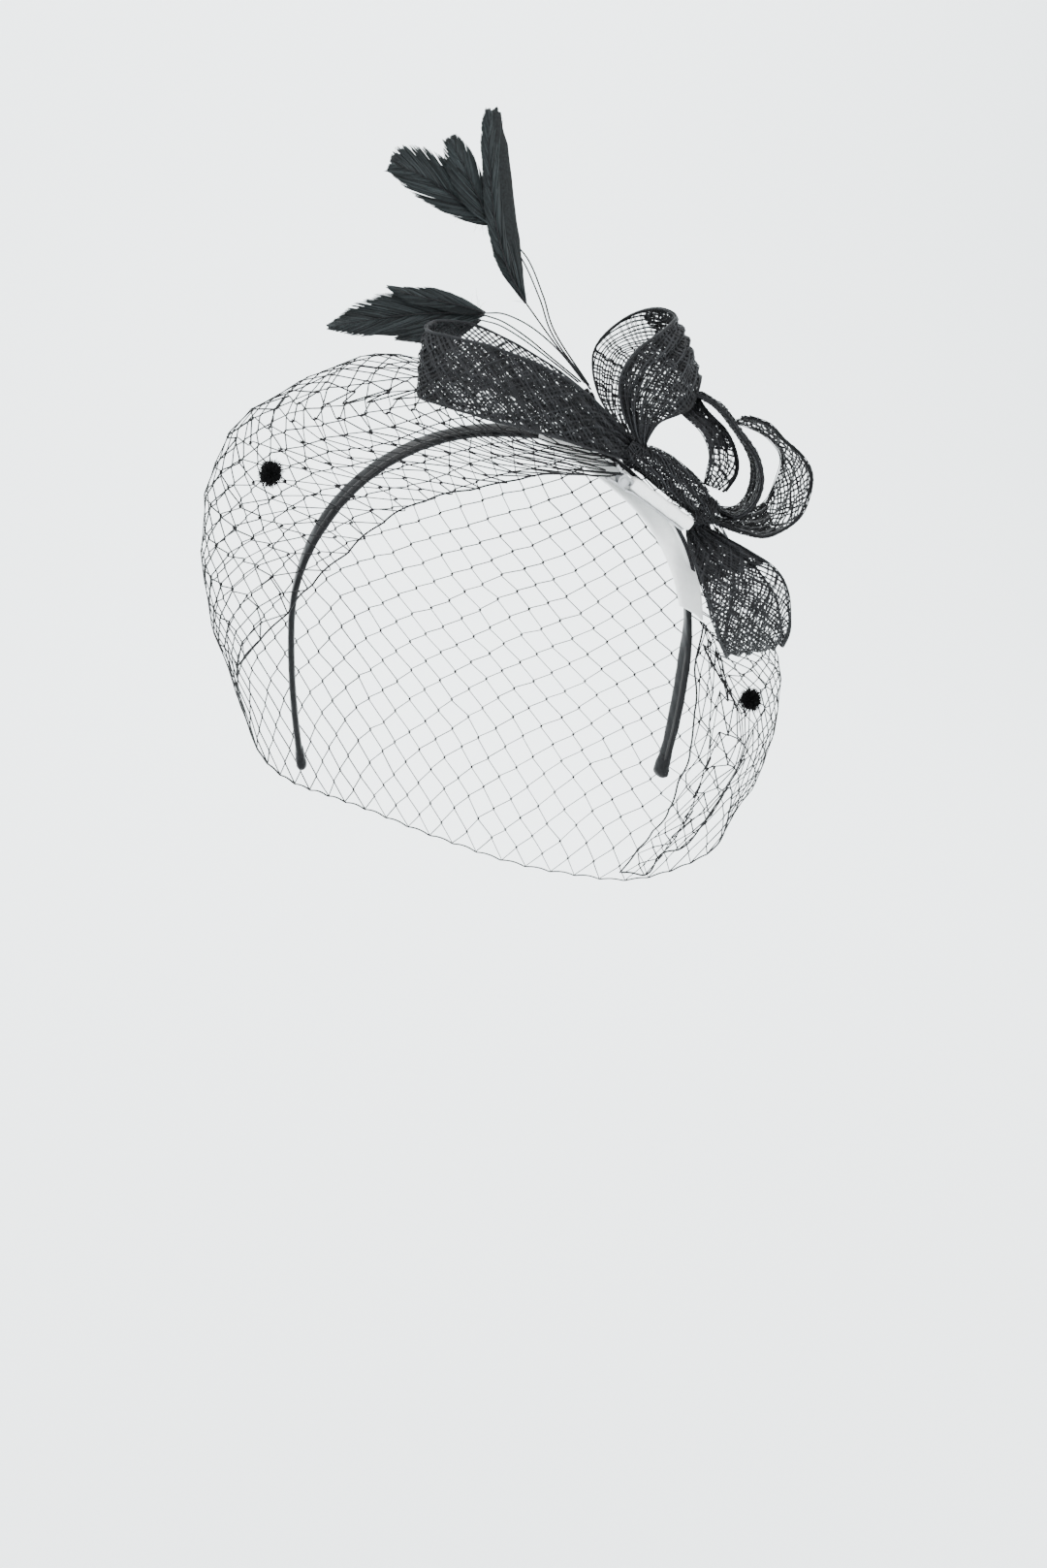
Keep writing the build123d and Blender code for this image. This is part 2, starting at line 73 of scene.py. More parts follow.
# A ribbon is a list of stations along it, and each station is a point on either edge.
LOOPS = {
    "loop_left": [
        (44, -16, 77, 46, -19, 69), (26, -20, 93, 28, -23, 74), (9, -23, 102, 10, -27, 79),
        (-10, -23, 108, -9, -28, 83), (-24, -17, 110, -23, -24, 86), (-31, -5, 111, -33, -11, 88),
        (-26, 7, 113, -25, 3, 93), (-12, 11, 112, -12, 9, 91), (6, 9, 105, 6, 8, 87),
        (24, 4, 95, 24, 3, 81), (36, -5, 85, 37, -6, 76), (42, -14, 76, 43, -15, 72)],
    "loop_top": [
        (46, -13, 74, 49, -13, 73), (42, -7, 79, 49, -7, 78), (34, 2, 90, 48, 2, 89),
        (32, 9, 105, 54, 9, 103), (42, 10, 117, 65, 10, 98), (53, 4, 122, 71, 6, 96),
        (58, -6, 120, 70, -4, 99), (51, -14, 115, 66, -13, 90), (41, -18, 107, 60, -18, 87),
        (37, -19, 97, 53, -19, 84), (41, -19, 84, 50, -19, 79), (47, -18, 76, 49, -18, 75)],
    "loop_inner": [
        (77, -13, 54, 76, -17, 55), (84, -2, 51, 80, -13, 52), (91, 3, 51, 86, -18, 51),
        (95, 4, 56, 92, -18, 56), (96, 4, 63, 94, -18, 64), (94, 4, 71, 91, -18, 73),
        (87, 4, 80, 84, -18, 81), (79, 3, 88, 76, -15, 90), (71, -2, 92, 66, -10, 94),
        (73, -6, 88, 61, -11, 89), (81, -8, 81, 69, -19, 82), (86, -8, 73, 73, -20, 74),
        (87, -8, 65, 73, -19, 67), (83, -9, 58, 73, -16, 62)],
    "loop_right": [
        (77, -14, 50, 76, -18, 50), (84, -2, 47, 80, -17, 48), (95, 9, 48, 89, -19, 45),
        (103, 12, 50, 98, -19, 44), (107, 13, 56, 108, -19, 50), (109, 13, 65, 112, -19, 59),
        (108, 13, 71, 112, -19, 68), (104, 13, 75, 107, -19, 75), (99, 13, 78, 100, -18, 80),
        (93, 13, 80, 94, -17, 85), (88, 12, 81, 87, -15, 87)],
    "loop_lower": [
        (72, -15, 49, 75, -16, 49), (69, -10, 44, 78, -12, 45), (72, -17, 32, 92, -19, 39),
        (77, -21, 19, 105, -21, 30), (83, -17, 6, 111, -18, 13), (90, -8, -4, 112, -9, 1),
        (91, 1, -4, 114, 0, 4), (87, 4, 8, 110, 3, 18), (79, 3, 26, 96, 2, 33),
        (74, -3, 40, 82, -4, 44)],
}

# Rows of the veil fan out from the bow, and each row runs from the bow to the free edge. The last
# four are folds that hang bunched under the lower loop, which the CAD model doesn't have.
VEIL_ROWS = [
    [(36, -25, 65), (6, -28, 64), (-30, -29, 54), (-60, -22, 30), (-82, -12, 0), (-96, 0, -17)],
    [(32, -9, 75.5), (2, -8, 81), (-42, -6, 87), (-94, -2, 73), (-109, 6, 16), (-94, 24, -42)],
    [(33, 13, 77), (6, 20, 86), (-44, 32, 97), (-87, 48, 61), (-97, 58, -2), (-80, 52, -78)],
    [(44, 15, 76), (24, 44, 88), (-8, 80, 70), (-40, 104, 24), (-46, 108, -34), (-40, 90, -108)],
    [(58, 15, 66), (54, 48, 70), (50, 92, 48), (42, 118, 4), (34, 120, -56), (22, 102, -136)],
    [(74, 12, 46), (88, 42, 44), (100, 74, 20), (107, 92, -20), (102, 94, -74), (80, 84, -138)],
    [(82, 9, 24), (100, 18, 18), (116, 32, 2), (127, 42, -30), (126, 50, -70), (112, 58, -112)],
    [(83, 4, -1), (91, 3, -12), (101, 0, -21), (108, 4, -34), (110, 12, -50), (107, 24, -70)],
    [(90, -1, -4), (94, -4, -16), (98, -5, -30), (100, -2, -48), (98, 10, -72), (92, 26, -96)],
    [(87, 3, -2), (90, 4, -14), (92, 6, -30), (93, 10, -52), (90, 20, -78), (83, 36, -106)],
    [(84, -5, 0), (85, -7, -13), (87, -8, -30), (87, -5, -52), (84, 8, -80), (76, 28, -112)],
    [(80, -7, 3), (80, -7, -12), (81, -6, -32), (80, 2, -56), (76, 18, -84), (67, 40, -116)],
]
# Where each row is sewn down, under the knot and along the front edge of the base.
VEIL_ROOTS = [(44, -15, 69), (38, -6, 73), (36, 4, 74), (42, 6, 71), (56, 6, 60.5), (69, 6, 44.5),
              (78, 4, 27), (80, 2, 9), (84, -1, 4), (82, 1, 5), (81, -4, 6), (80, -6, 9)]

# ---- curve helpers ----


def smooth(points, steps):
    """Points on a smooth curve through the given ones, with this many steps between neighbours."""
    p = np.asarray(points, float)
    ends = np.concatenate([[2 * p[0] - p[1]], p, [2 * p[-1] - p[-2]]])
    t = (np.arange(steps) / steps).reshape(-1, *([1] * (p.ndim - 1)))
    parts = []
    for a, b, c, d in zip(ends, ends[1:], ends[2:], ends[3:]):
        bend = (c - a) * t + (2 * a - 5 * b + 4 * c - d) * t**2 + (3 * b - a - 3 * c + d) * t**3
        parts.append(b + 0.5 * bend)
    return np.concatenate(parts + [p[-1:]])


def lengths(path):
    """How far along the path each of its points is."""
    steps = norm(np.diff(path, axis=0), axis=1)
    return np.concatenate([[0.0], np.cumsum(steps)])


def at(path, along, where):
    """Points at these distances along a path whose point distances are given."""
    return np.stack([np.interp(where, along, path[:, k]) for k in range(3)], -1)


def evenly(path, step):
    """The path again with points about this far apart."""
    along = lengths(path)
    count = max(2, int(round(along[-1] / step)) + 1)
    return at(path, along, np.linspace(0, along[-1], count))


def profile(share, values):
    """The value at this share of the way along evenly spaced ones."""
    return np.interp(share, np.linspace(0, 1, len(values)), values)


def unit(v):
    return v / np.maximum(norm(v, axis=-1, keepdims=True), 1e-9)


def carried_frame(path):
    """A side direction at each point of the path that turns as little as it can."""
    tangent = unit(np.gradient(path, axis=0))
    first = np.cross(tangent[0], UP if abs(tangent[0][2]) < 0.9 else FORWARD)
    side = [first / norm(first)]
    for t in tangent[1:]:
        s = side[-1] - t * np.dot(side[-1], t)
        side.append(s / max(norm(s), 1e-9))
    return np.array(side)


# ---- mesh helpers ----


def add_object(name, data):
    """An object in the scene that holds this mesh, lamp or camera."""
    obj = bpy.data.objects.new(name, data)
    bpy.context.scene.collection.objects.link(obj)
    return obj


def make_object(name, verts, faces, material):
    """A smooth-shaded mesh object from points in millimetres."""
    mesh = bpy.data.meshes.new(name)
    mesh.from_pydata((np.asarray(verts) * MM).tolist(), [], faces)
    mesh.update()
    mesh.polygons.foreach_set("use_smooth", [True] * len(mesh.polygons))
    mesh.materials.append(material)
    return add_object(name, mesh)


class Strands:
    """Collects many thin closed tubes into one mesh."""

    def __init__(self, sides):
        self.sides = sides
        self.verts = []
        self.faces = []
        self.count = 0

    def add(self, path, radius, normal=None, flat=1.0):
        """A tube along the path. flat squeezes it along the normal."""
        n = len(path)
        radius = np.broadcast_to(np.asarray(radius, float), (n,))
        tangent = unit(np.gradient(path, axis=0))
        across = carried_frame(path) if normal is None else unit(np.cross(normal, tangent))
        rise = np.cross(tangent, across)
        angle = TURN * (np.arange(self.sides) + 0.5) / self.sides
        ring = (across[:, None] * np.cos(angle)[None, :, None]
                + rise[:, None] * np.sin(angle)[None, :, None] * flat)
        self.verts.append((path[:, None] + ring * radius[:, None, None]).reshape(-1, 3))
        index = self.count + np.arange(n * self.sides).reshape(n, self.sides)
        beside = np.roll(index, -1, 1)
        quads = np.stack([index[:-1], beside[:-1], beside[1:], index[1:]], -1)
        self.faces.extend(quads.reshape(-1, 4).tolist())
        self.faces += [index[0][::-1].tolist(), index[-1].tolist()]
        self.count += index.size

    def build(self, name, material):
        return make_object(name, np.concatenate(self.verts), self.faces, material)


def grid_faces(rows, columns, wrap=False):
    """Quads of a grid of points, row by row. wrap joins the last column to the first."""
    index = np.arange(rows * columns).reshape(rows, columns)
    right = np.roll(index, -1, 1)
    quads = np.stack([index[:-1], index[1:], right[1:], right[:-1]], -1)
    if not wrap:
        quads = quads[:, :-1]
    return quads.reshape(-1, 4).tolist()


def skin(name, rings, material):
    """A closed surface through rings of points, with a fan of faces over each end."""
    rings = np.asarray(rings)
    rows, columns = rings.shape[:2]
    start, end = rows * columns, rows * columns + 1
    last = (rows - 1) * columns
    faces = grid_faces(rows, columns, wrap=True)
    for k in range(columns):
        faces.append([start, k, (k + 1) % columns])
        faces.append([end, last + (k + 1) % columns, last + k])
    verts = np.concatenate([rings.reshape(-1, 3), rings[:1].mean(1), rings[-1:].mean(1)])
    return make_object(name, verts, faces, material)


def plate(name, points, normals, thickness, material):
    """A closed thin sheet: a grid of points, given some thickness along its normals."""
    rows, columns = points.shape[:2]
    top = (points + normals * thickness / 2).reshape(-1, 3)
    bottom = (points - normals * thickness / 2).reshape(-1, 3)
    count = rows * columns
    faces = grid_faces(rows, columns)
    faces += [[q + count for q in face[::-1]] for face in grid_faces(rows, columns)]
    index = np.arange(count).reshape(rows, columns)
    rim = np.concatenate([index[0, :-1], index[:-1, -1], index[-1, :0:-1], index[:0:-1, 0]])
    for a, b in zip(rim, np.roll(rim, -1)):
        faces.append([int(a), int(b), int(b) + count, int(a) + count])
    return make_object(name, np.concatenate([top, bottom]), faces, material)


def around(axis, angle, radius):
    """Offsets that turn round an axis, through these angles and at these distances from it."""
    side = unit(np.cross(axis, UP))
    rise = np.cross(axis, side)
    return (side * np.cos(angle)[:, None] + rise * np.sin(angle)[:, None]) * radius[:, None]


# ---- materials ----


def fill(node, **values):
    """Set values on a node's inputs, with _ for each space in an input's name."""
    for name, value in values.items():
        node.inputs[name.replace("_", " ")].default_value = value
    return node


def add_node(tree, kind, **values):
    return fill(tree.nodes.new("ShaderNode" + kind), **values)


def new_material(name, color, roughness, **values):
    """A material with its fixed values set on the shader's own sockets."""
    material = bpy.data.materials.new(name)
    material.use_nodes = True
    shader = material.node_tree.nodes["Principled BSDF"]
    specular = 0.5 if max(color) > 0.3 else 0.16
    fill(shader, Base_Color=(*color, 1), Roughness=roughness, Specular_IOR_Level=specular, **values)
    return material, shader, material.node_tree


def add_noise(tree, scale, detail=4.0, stretch=(1, 1, 1)):
    """Noise over the object's own coordinates."""
    coords = add_node(tree, "TexCoord")
    mapping = add_node(tree, "Mapping", Scale=stretch)
    noise = add_node(tree, "TexNoise", Scale=scale, Detail=detail)
    tree.links.new(coords.outputs["Object"], mapping.inputs["Vector"])
    tree.links.new(mapping.outputs["Vector"], noise.inputs["Vector"])
    return noise.outputs["Fac"]


def vary_color(tree, shader, factor, dark, light, low=0.3, high=0.7):
    """Base colour that runs between two colours with a texture."""
    ramp = add_node(tree, "ValToRGB")
    for stop, position, color in zip(ramp.color_ramp.elements, (low, high), (dark, light)):
        stop.position = position
        stop.color = (*color, 1)
    tree.links.new(factor, ramp.inputs["Fac"])
    tree.links.new(ramp.outputs["Color"], shader.inputs["Base Color"])


def add_bump(tree, shader, height, strength, distance):
    """Fine relief from a texture, this many metres high."""
    bump = add_node(tree, "Bump", Strength=strength, Distance=distance)
    tree.links.new(height, bump.inputs["Height"])
    tree.links.new(bump.outputs["Normal"], shader.inputs["Normal"])


def textured(name, color, roughness, dark, light, noise=None, rough=None, bump=None, **values):
    """A material whose shade runs from dark to light with noise, or else from strand to strand.

    rough and bump each start with a noise of their own, or None for the shade's. Then rough gives
    the lowest and highest roughness, and bump gives add_bump's strength and distance.
    """
    material, shader, tree = new_material(name, color, roughness, **values)
    if noise:
        shade = add_noise(tree, *noise)
        vary_color(tree, shader, shade, dark, light)
    else:
        shade = add_node(tree, "NewGeometry").outputs["Random Per Island"]
        vary_color(tree, shader, shade, dark, light, 0, 1)
    if rough:
        source, low, high = rough
        spread = add_node(tree, "MapRange", To_Min=low, To_Max=high)
        tree.links.new(add_noise(tree, *source) if source else shade, spread.inputs["Value"])
        tree.links.new(spread.outputs["Result"], shader.inputs["Roughness"])
    if bump:
        source, strength, distance = bump
        height = add_noise(tree, *source) if source else shade
        add_bump(tree, shader, height, strength, distance)
    return material


def woven_board_material():
    """Coarse crossing ridges for the stiffened disc."""
    material, shader, tree = new_material("woven_board", (0.012, 0.012, 0.013), 0.5)
    coords = add_node(tree, "TexCoord")
    larger = add_node(tree, "Math")
    larger.operation = "MAXIMUM"
    for direction, entry in zip("XY", larger.inputs):
        wave = add_node(tree, "TexWave", Scale=240, Distortion=1.2)
        wave.bands_direction = direction
        tree.links.new(coords.outputs["Object"], wave.inputs["Vector"])
        tree.links.new(wave.outputs["Fac"], entry)
    vary_color(tree, shader, larger.outputs[0], (0.002, 0.002, 0.0025), (0.012, 0.012, 0.014))
    add_bump(tree, shader, larger.outputs[0], 0.7, 0.0004)
    return material


def thread_material(name, dark, light, roughness=0.6):
    return textured(name, light, roughness, dark, light, (1500, 3), bump=(None, 0.5, 0.00008))


SATIN = textured(
    "satin", (0.004, 0.0045, 0.0055), 0.34, (0.0015, 0.0016, 0.002), (0.005, 0.0055, 0.0065),
    (900, 2, (1, 6, 1)), rough=((160,), 0.28, 0.45), bump=(None, 0.25, 0.0001))
STRAW = textured(
    "straw_cloth", (0.005, 0.005, 0.006), 0.4, (0.0015, 0.0016, 0.002), (0.019, 0.02, 0.022),
    rough=((700, 3), 0.3, 0.6), bump=((2600, 3), 0.4, 0.0001))
FEATHER = textured(
    "feather", (0.004, 0.005, 0.006), 0.42, (0.002, 0.0024, 0.0026), (0.024, 0.03, 0.031),
    rough=((400,), 0.28, 0.6), bump=((3000, 2), 0.25, 0.00006))
FELT = textured(
    "felt", (0.9, 0.91, 0.9), 0.95, (0.86, 0.87, 0.86), (0.94, 0.95, 0.94),
    (420, 8), bump=((1400, 6), 0.6, 0.0003), Sheen_Weight=0.2)
STEEL = textured(
    "clip_steel", (0.5, 0.51, 0.52), 0.3, (0.36, 0.37, 0.38), (0.62, 0.63, 0.64),
    (300, 4, (1, 14, 1)), rough=(None, 0.22, 0.42), bump=(None, 0.2, 0.00005), Metallic=1.0)
PLASTIC = textured("core_plastic", (0.02,) * 3, 0.5, (0.015,) * 3, (0.03,) * 3, (80,))
BOARD = woven_board_material()
THREAD = thread_material("thread", (0.002, 0.002, 0.0025), (0.008, 0.008, 0.009))
NET = thread_material("net_thread", (0.002, 0.0022, 0.0026), (0.007, 0.0075, 0.008))
CHENILLE = thread_material("chenille", (0.001, 0.001, 0.0012), (0.004, 0.004, 0.0045), 0.95)
WEB = thread_material("feather_web", (0.002, 0.0024, 0.0026), (0.008, 0.01, 0.0105))
QUILL = thread_material("quill", (0.003, 0.003, 0.0035), (0.012, 0.012, 0.013), 0.35)

# CAD nodes that are shown as they are.
CAD_FINISHES = {
    "headband_core": PLASTIC, "base_disc": BOARD, "base_lining": FELT, "base_stitches": THREAD,
    "clip_fixed_jaw": STEEL, "clip_moving_jaw": STEEL, "clip_pin": STEEL, "clip_spring": STEEL,
}
for cad_node, finish in CAD_FINISHES.items():
    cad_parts[cad_node].data.materials[0] = finish


def place(piece, slot, *nodes, body="headpiece"):
    """Attach a piece to its body, hide the CAD nodes it stands for. slot (its finish) is unused."""
    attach(piece, body)
    if nodes:
        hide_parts(*nodes)
    return piece


# ---- headband ----


def band_line():
    """Centre line of the headband and its outward direction, from the left tip to the right tip."""
    radius = (LEG_DROP**2 + LEG_INSET**2) / (2 * LEG_INSET)
    reach = math.atan2(LEG_DROP, radius - LEG_INSET)
    leg = np.linspace(reach, 0, 40)
    turn = np.linspace(0, np.pi, 150)[1:-1]
    leg_x = -BAND_RADIUS + radius * (1 - np.cos(leg))
    leg_z = -radius * np.sin(leg)
    left = np.stack([leg_x, 0 * leg, leg_z], -1)
    left_out = np.stack([-np.cos(leg), 0 * leg, -np.sin(leg)], -1)
    top_out = np.stack([-np.cos(turn), 0 * turn, np.sin(turn)], -1)
    mirror = np.array([-1, 1, 1])
    path = np.concatenate([left, top_out * BAND_RADIUS, left[::-1] * mirror])
    out = np.concatenate([left_out, top_out, left_out[::-1] * mirror])
    return path, out


def band_twist(point):
    """How far the band's outer face turns to the rear here, in radians."""
    angle = math.degrees(math.atan2(point[0], max(point[2], 0.0)))
    if point[2] < 0:
        angle = math.copysign(90 - point[2] * 0.75, point[0])
    return math.radians(np.interp(angle, [-80, -58, 2, 12, 84, 96], [0, 25, 25, 0, 0, -25]))


def squared(value, power):
    """A cosine or sine pushed outwards, which turns an ellipse towards a rounded box."""
    return np.sign(value) * np.abs(value) ** power


WRAP_START, WRAP_END = -2.4, 6.6  # from just past the band's tip to inside it
WRAP_HALF_WIDTH, WRAP_HALF_THICKNESS = 4.0, 2.05


def build_headband():
    """The satin cover with its twist and puckers, and a wrapped end on each leg."""
    path, out = band_line()
    along = lengths(path)
    total = along[-1]
    where = np.linspace(0, total, 520)
    centre = at(path, along, where)
    straight = unit(at(out, along, where))
    turn = np.array([band_twist(point) for point in centre])[:, None]
    outward = straight * np.cos(turn) - FORWARD * np.sin(turn)
    front = FORWARD * np.cos(turn) + straight * np.sin(turn)
    angle = np.linspace(0, TURN, 28, endpoint=False)
    c, s = np.cos(angle), np.sin(angle)
    from_end = np.minimum(where, total - where)
    pinch = 1 - 0.12 * np.exp(-((from_end - 12) / 5) ** 2)
    rng = default_rng(11)
    pucker = sum(rng.uniform(0.01, 0.03) * np.sin(where[:, None] * rng.uniform(0.3, 1.8)
                                                  + angle[None] * k + rng.uniform(0, 6))
                 for k in (1, 2, 3, 5))
    wide = squared(c, 0.72)[None] * BAND_WIDTH / 2 * pinch[:, None] * (1 + 0.6 * pucker)
    thick = squared(s, 0.72)[None] * BAND_THICKNESS / 2 * (1 + pucker)
    rings = centre[:, None] + front[:, None] * wide[..., None] + outward[:, None] * thick[..., None]
    place(skin("satin_cover", rings, SATIN), "satin_black", "headband_cover")

    for tip, step_in, name in ((0, 20, "tip_wrap_left"), (-1, -21, "tip_wrap_right")):
        inward = unit(centre[step_in] - centre[tip])
        rings = []
        for step in np.linspace(WRAP_START, WRAP_END, 26):
            swell = math.sqrt(max(0.02, 1 - max(0.0, -step / 2.5) ** 2))
            swell *= 1 - 0.24 * max(0.0, step / WRAP_END) ** 1.5
            fold = 1 + 0.03 * np.sin(3 * angle + step * 0.9) + 0.02 * np.sin(7 * angle - step * 2)
            w = squared(c, 0.8) * WRAP_HALF_WIDTH * swell * fold
            t = squared(s, 0.8) * WRAP_HALF_THICKNESS * swell * fold
            rings.append(centre[tip] + inward * step + front[tip] * w[:, None]
                         + outward[tip] * t[:, None])
        place(skin(name + "_satin", rings, SATIN), "satin_black", name)


# ---- open-weave cloth ----

PLEAT_LIMIT = 1.9
CROWN = 1.1
THREAD_PITCH = 1.7
DENSE_PITCH = 1.05
PAIR_GAP = 0.18  # from the middle of a pair of fibres to each of them
WANDER = 0.15
OVER_UNDER = 0.17
FIBRE_RADIUS = 0.21
FIBRE_STEP = 1.5
HEM_RADIUS = 0.22

RIBBON_STYLE = {
    # name: flat width in mm, pleats, grain in degrees, part of the length with a second ply, seed
    "loop_left": (27, 4, 33, (0.0, 0.55), 3),
    "loop_top": (33, 5, 12, (0.47, 1.0), 5),
    "loop_inner": (26, 4, 18, (0.0, 0.86), 7),
    "loop_right": (38, 4, 45, (0.0, 0.38), 9),
    "loop_lower": (34, 5, 36, (0.0, 0.22), 13),
}


class Ribbon:
    """A ribbon surface through stations, with pleats where it is drawn in."""

    def __init__(self, stations, width, pleats, seed):
        edges = smooth(np.reshape(stations, (-1, 2, 3)), 10)
        self.near, self.far = edges[:, 0], edges[:, 1]
        self.along = lengths((self.near + self.far) / 2)
        self.length = self.along[-1]
        self.width = width
        rng = default_rng(seed)
        self.waves = [(pleats + k, rng.uniform(0, 6.3), rng.uniform(0.6, 1.0) / (k + 1.5))
                      for k in range(3)]

    def edges(self, s):
        return at(self.near, self.along, s), at(self.far, self.along, s)

    def point(self, s, t):
        """The point at distance s along the ribbon and share t across it."""
        near, far = self.edges(s)
        drawn = norm(far - near, axis=-1)
        slack = np.sqrt(np.maximum((self.width / np.maximum(drawn, 1)) ** 2 - 1, 0))
        height = np.minimum(drawn * 0.10 * slack, PLEAT_LIMIT)
        wave = sum(size * np.sin(TURN * count * t + phase + s * 0.03)
                   for count, phase, size in self.waves)
        heading = np.add(*self.edges(s + 0.5)) - np.add(*self.edges(s - 0.5))
        normal = unit(np.cross(heading, far - near))
        crown = CROWN * np.sin(np.pi * np.clip(t, 0, 1)) * np.clip(drawn / 30, 0, 1)
        spot = near + (far - near) * t[..., None]
        return spot + normal * (height * wave * 0.5 + crown)[..., None], normal


def weave(strands, surface, grain, layer, rng, pitch, span=(0.0, 1.0)):
    """Two crossing families of paired fibres over part of a ribbon, cut off at its edges."""
    sizes = ((span[0] * surface.length, span[1] * surface.length), (0.0, surface.width))
    corners = np.array([[x, y] for x in sizes[0] for y in sizes[1]])
    for family, angle in enumerate((grain, grain + np.pi / 2 + 0.06)):
        direction = np.array([np.cos(angle), np.sin(angle)])
        across = np.array([-direction[1], direction[0]])
        reach = corners @ across
        offset = reach.min() + pitch * rng.uniform(0, 1)
        while offset < reach.max():
            start = across * (offset + rng.normal(0, 0.08) * pitch)
            spans = [sorted(((low - start[k]) / direction[k], (high - start[k]) / direction[k]))
                     for k, (low, high) in enumerate(sizes)]
            low, high = max(a for a, _ in spans), min(b for _, b in spans)
            chance = rng.uniform()
            offset += pitch * (0.42 if chance < 0.1 else rng.uniform(0.84, 1.18))
            if high - low < 1.5 or chance > 0.94:
                continue
            run = np.linspace(low, high, max(3, int((high - low) / FIBRE_STEP) + 1))
            wander = WANDER * np.sin(run * rng.uniform(0.06, 0.25) + rng.uniform(0, 6.3))
            over = OVER_UNDER * np.sin(np.pi * run / pitch + family * np.pi)
            for side in (-1, 1):
                gap = side * (PAIR_GAP + 0.04 * np.sin(run * 0.5 + rng.uniform(0, 6.3)))
                flat = start + direction * run[:, None] + across * (wander + gap)[:, None]
                s = np.clip(flat[:, 0], 0, surface.length)
                t = np.clip(flat[:, 1] / surface.width, 0, 1)
                spot, normal = surface.point(s, t)
                spot = spot + normal * (layer + over)[:, None]
                strands.add(spot, FIBRE_RADIUS * rng.uniform(0.8, 1.2), normal, flat=0.65)


def hems(strands, surface, layer, rng):
    """Threads bunched along both folded edges of a ribbon."""
    s = np.linspace(0.5, surface.length - 0.5, int(surface.length / 2.0))
    for t_base, sign in ((0.0, 1), (1.0, -1)):
        for k in range(3):
            t = t_base + sign * (k * 0.014 + 0.004 * np.sin(s * 0.4 + k))
            spot, normal = surface.point(s, t)
            spot = spot + normal * (layer + rng.uniform(-0.15, 0.15))
            strands.add(spot, HEM_RADIUS, normal, flat=0.8)


def build_loops():
    """The bow's five loops of straw cloth, with a second ply where the photo shows one."""
    for name, (width, pleats, grain, doubled, seed) in RIBBON_STYLE.items():
        surface = Ribbon(LOOPS[name], width, pleats, seed)
        rng = default_rng(seed)
        strands = Strands(4)
        weave(strands, surface, math.radians(grain), 0.3, rng, THREAD_PITCH)
        weave(strands, surface, math.radians(grain + 17), -0.45, rng, DENSE_PITCH, doubled)
        for layer in (0.3, -0.3):
            hems(strands, surface, layer, rng)
        piece = place(strands.build(name + "_cloth", STRAW), "straw_cloth_black", name)


# ---- knot, arm and gather ----

ROLL_LAYERS = (0.0, 0.55)
ROLL_PITCH = 0.75
ROLL_RING_PITCH = 1.25
WOUND_RADIUS = 0.3


def rolled(name, centres, radius, node, seed, twist, pleats):
    """A roll of pleated open-weave cloth along a line of centres."""
    rng = default_rng(seed)
    path = smooth(centres, 14)
    along = lengths(path)
    side = carried_frame(path)
    tangent = unit(np.gradient(path, axis=0))
    rise = np.cross(tangent, side)
    strands = Strands(4)
    phases = rng.uniform(0, 6.3, 4)

    def spot(s, angle, depth):
        share = s / along[-1]
        base = profile(share, radius)
        fold = 1 + 0.13 * np.sin(pleats * angle + phases[0] + 1.2 * share)
        fold += 0.07 * np.sin((2 * pleats + 1) * angle + phases[1])
        r = base * fold - depth
        centre = at(path, along, s)
        out = unit(at(side, along, s) * np.cos(angle)[:, None]
                   + at(rise, along, s) * np.sin(angle)[:, None])
        return centre + out * r[:, None], out

    count = int(TURN * max(radius) / ROLL_PITCH)
    for depth in ROLL_LAYERS:
        for k in range(count):
            s = np.linspace(0, along[-1], int(along[-1] / 1.4) + 3)
            angle = TURN * (k + rng.uniform(-0.25, 0.25)) / count + twist * s / along[-1]
            point, normal = spot(s, angle + 0.1 * np.sin(s * 0.5 + k), depth)
            strands.add(point, 0.2 * rng.uniform(0.8, 1.3), normal, flat=0.7)
        turn = np.linspace(0, TURN, 34)
        for s0 in np.arange(0.6, along[-1] - 0.4, ROLL_RING_PITCH):
            lean = 1.4 * np.sin(turn + phases[2])
            s = np.clip(s0 + lean + rng.uniform(-0.2, 0.2), 0, along[-1])
            point, normal = spot(s, turn, depth + 0.12)
            strands.add(point, 0.17, normal, flat=0.7)
    place(strands.build(name, STRAW), "straw_cloth_black", node)


def winding(name, centre, heading, radius, turns, spread, node, seed):
    """Sewing thread wound round a bundle."""
    rng = default_rng(seed)
    strands = Strands(5)
    angle = np.linspace(0, TURN * turns, turns * 26)
    shift = np.interp(angle, [0, angle[-1]], [-spread / 2, spread / 2])
    shift = shift + 0.25 * np.sin(angle * 0.37)
    bulge = radius + 0.15 * np.sin(angle * 0.7 + 1) + rng.normal(0, 0.02, len(angle))
    strands.add(centre + heading * shift[:, None] + around(heading, angle, bulge), WOUND_RADIUS)
    place(strands.build(name, THREAD), "thread_black", node)


